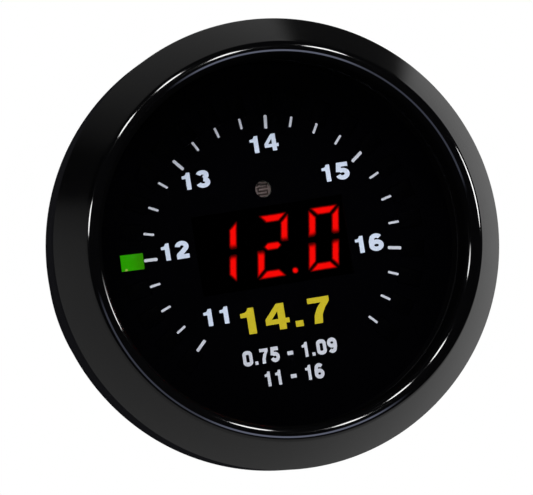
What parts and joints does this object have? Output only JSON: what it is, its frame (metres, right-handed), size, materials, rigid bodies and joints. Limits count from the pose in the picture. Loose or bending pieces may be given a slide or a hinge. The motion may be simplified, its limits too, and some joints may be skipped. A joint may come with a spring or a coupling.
{
  "type": "air fuel ratio gauge",
  "caption": "Round panel gauge with a screw-on bezel, numeric display, ring of lamp windows, rear sockets and a U-shaped clamp bracket on studs with thumb nuts.",
  "frame": {"origin": "on the gauge's axis, in the plane where the flange meets the panel", "axes": "-Y points out of the dial towards the viewer, +Z is the dial's top, +X is to the right as the dial is read"},
  "size_m": [0.06, 0.066, 0.06],
  "materials": {
    "bezel": "black anodised, polished crest",
    "lens": "clear, polished",
    "gasket": "matte",
    "inner_ring": "matte black",
    "dial": "printed satin black",
    "filter": "smoked, polished",
    "light_guide": "clear, frosted back",
    "white_plastic": "moulded white",
    "unlit_pipe": "dark, translucent",
    "lit_pipe": "lit green",
    "chip_lamp": "small lamp body",
    "display_black": "moulded black",
    "lit_segment": "lit red",
    "dark_segment": "unlit red",
    "tinned": "tinned",
    "photocell": "coated ceramic",
    "board": "green solder mask",
    "steel": "zinc plated",
    "brass": "turned",
    "chip_black": "moulded black",
    "can": "drawn",
    "ferrite": "dark",
    "housing": "moulded black, fine grain",
    "socket_white": "moulded white",
    "socket_black": "moulded black",
    "switch_blue": "moulded blue",
    "rotor": "moulded cream"
  },
  "bodies": {
    "gauge": {"lens_gasket": "gasket", "dial_retaining_ring": "inner_ring", "dial_plate": "dial", "display_filter": "filter", "light_guide_plate": "light_guide", "lamp_baffle": "white_plastic", "lamp_light_pipes": "unlit_pipe", "lit_light_pipe": "lit_pipe", "ring_leds": "chip_lamp", "backlight_leds": "chip_lamp", "display_case": "display_black", "lit_segments": "lit_segment", "dark_segments": "dark_segment", "display_pins": "tinned", "light_sensor": "photocell", "display_board": "board", "display_screws": "steel", "board_spacers": "brass", "header_socket": "display_black", "header_pins": "tinned", "main_board": "board", "microcontroller": "chip_black", "interface_chip": "chip_black", "heater_transistor": "chip_black", "voltage_regulator": "chip_black", "filter_capacitors": "can", "power_inductor": "ferrite", "clock_crystal": "can", "chip_resistors": "chip_black", "housing_body": "housing", "rear_cover": "housing", "power_socket": "socket_white", "power_pins": "tinned", "sensor_socket": "socket_black", "sensor_pins": "tinned", "mode_switch": "switch_blue", "stud_inserts": "brass", "mounting_studs": "steel"},
    "lens_carrier": {"front_lens": "lens"},
    "bezel": {"bezel_ring": "bezel"},
    "mode_rotor": {"mode_switch_rotor": "rotor"},
    "bracket": {"clamp_bracket": "steel", "washers": "steel"},
    "upper_nut": {"upper_thumb_nut": "steel"},
    "lower_nut": {"lower_thumb_nut": "steel"}
  },
  "joints": [
    {"name": "lens_lift", "type": "slide", "parent": "gauge", "child": "lens_carrier", "axis": [0, -1, 0], "range_m": [0, 0.003]},
    {"name": "bezel_turn", "type": "hinge", "parent": "lens_carrier", "child": "bezel", "pos_m": [0, 0, 0], "axis": [0, -1, 0], "range_deg": [0, 721]},
    {"name": "mode_rotor_turn", "type": "hinge", "parent": "gauge", "child": "mode_rotor", "pos_m": [0.0095, 0.033, 0.0152], "axis": [0, 1, 0], "continuous": true},
    {"name": "bracket_slide", "type": "slide", "parent": "gauge", "child": "bracket", "axis": [0, 1, 0], "range_m": [-0.0014, 0.0042]},
    {"name": "upper_nut_turn", "type": "hinge", "parent": "bracket", "child": "upper_nut", "pos_m": [0, 0, 0.017], "axis": [0, 1, 0], "range_deg": [-721, 2161]},
    {"name": "lower_nut_turn", "type": "hinge", "parent": "bracket", "child": "lower_nut", "pos_m": [0, 0, -0.017], "axis": [0, 1, 0], "range_deg": [-721, 2161]}
  ],
  "couplings": [
    {"joint": "bezel_turn", "follows": "lens_lift", "rad_per_m": 4188.8},
    {"joint": "upper_nut_turn", "follows": "bracket_slide", "rad_per_m": 8976},
    {"joint": "lower_nut_turn", "follows": "bracket_slide", "rad_per_m": 8976}
  ]
}
